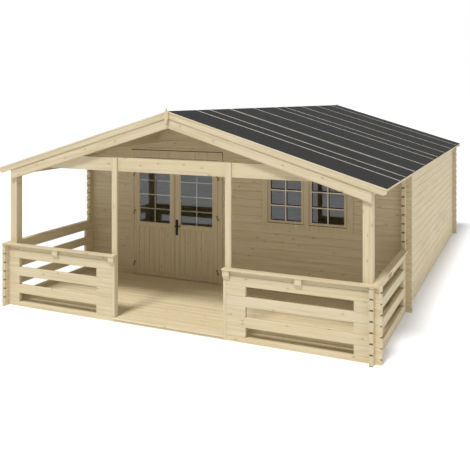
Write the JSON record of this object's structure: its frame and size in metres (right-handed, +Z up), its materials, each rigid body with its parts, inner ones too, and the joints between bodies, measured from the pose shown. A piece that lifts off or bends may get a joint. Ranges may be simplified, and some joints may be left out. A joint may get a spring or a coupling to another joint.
{
  "type": "garden_house",
  "caption": "Log garden house with a gabled room, double glazed doors, a twin window and a railed veranda under one low felted roof",
  "frame": {"origin": "on the ground, in the middle of the overall width and length", "axes": "X across the front, +X to the right seen from the veranda; +Y from the veranda to the back; +Z up"},
  "size_m": [5.42, 7.949, 2.7536],
  "materials": {
    "log_pine": "planed, untreated",
    "planed_pine": "planed, untreated",
    "board_pine": "sawn and planed, untreated",
    "joinery_pine": "sanded, untreated",
    "clear_glass": "clear float glass",
    "dark_iron": "matt dark lacquer",
    "roofing_felt": "fine mineral grit on bitumen"
  },
  "bodies": {
    "house": {"left_wall": "log_pine", "right_wall": "log_pine", "back_wall": "log_pine", "front_wall_left": "log_pine", "front_wall_right": "log_pine", "front_gable": "log_pine", "front_railing_left": "log_pine", "front_railing_right": "log_pine", "side_railing_left": "log_pine", "side_railing_right": "log_pine", "corner_posts": "planed_pine", "door_posts": "planed_pine", "front_beam": "planed_pine", "ridge_beam": "planed_pine", "purlins": "planed_pine", "eave_purlins": "planed_pine", "front_rafter_left": "planed_pine", "front_rafter_right": "planed_pine", "front_barge_left": "planed_pine", "front_barge_right": "planed_pine", "back_barge_left": "planed_pine", "back_barge_right": "planed_pine", "eave_boards": "planed_pine", "finials": "planed_pine", "front_handrails": "planed_pine", "side_handrails": "planed_pine", "handrail_brackets": "planed_pine", "railing_battens": "planed_pine", "roof_boards_left": "board_pine", "roof_boards_right": "board_pine", "room_floor": "board_pine", "veranda_floor": "board_pine", "floor_bearers": "board_pine", "door_frame": "joinery_pine", "door_casing": "joinery_pine", "window_frame": "joinery_pine", "window_sashes": "joinery_pine", "window_glass": "clear_glass", "frame_hinges": "dark_iron", "roof_felt_left": "roofing_felt", "roof_felt_right": "roofing_felt"},
    "door_left": {"door_leaf_left": "joinery_pine", "door_glass_left": "clear_glass", "leaf_hinges_left": "dark_iron"},
    "door_right": {"door_leaf_right": "joinery_pine", "door_glass_right": "clear_glass", "leaf_hinges_right": "dark_iron", "handle_plates": "dark_iron"},
    "door_lever": {"door_levers": "dark_iron"}
  },
  "joints": [
    {"name": "left_door_hinge", "type": "hinge", "parent": "house", "child": "door_left", "pos_m": [-1.7055, -1.989, 1], "axis": [0, 0, -1], "range_deg": [0, 165]},
    {"name": "right_door_hinge", "type": "hinge", "parent": "house", "child": "door_right", "pos_m": [-0.2225, -1.989, 1], "axis": [0, 0, 1], "range_deg": [0, 165]},
    {"name": "lever_turn", "type": "hinge", "parent": "door_right", "child": "door_lever", "pos_m": [-0.928, -1.9825, 0.89], "axis": [0, 1, 0], "range_deg": [0, 45]}
  ]
}
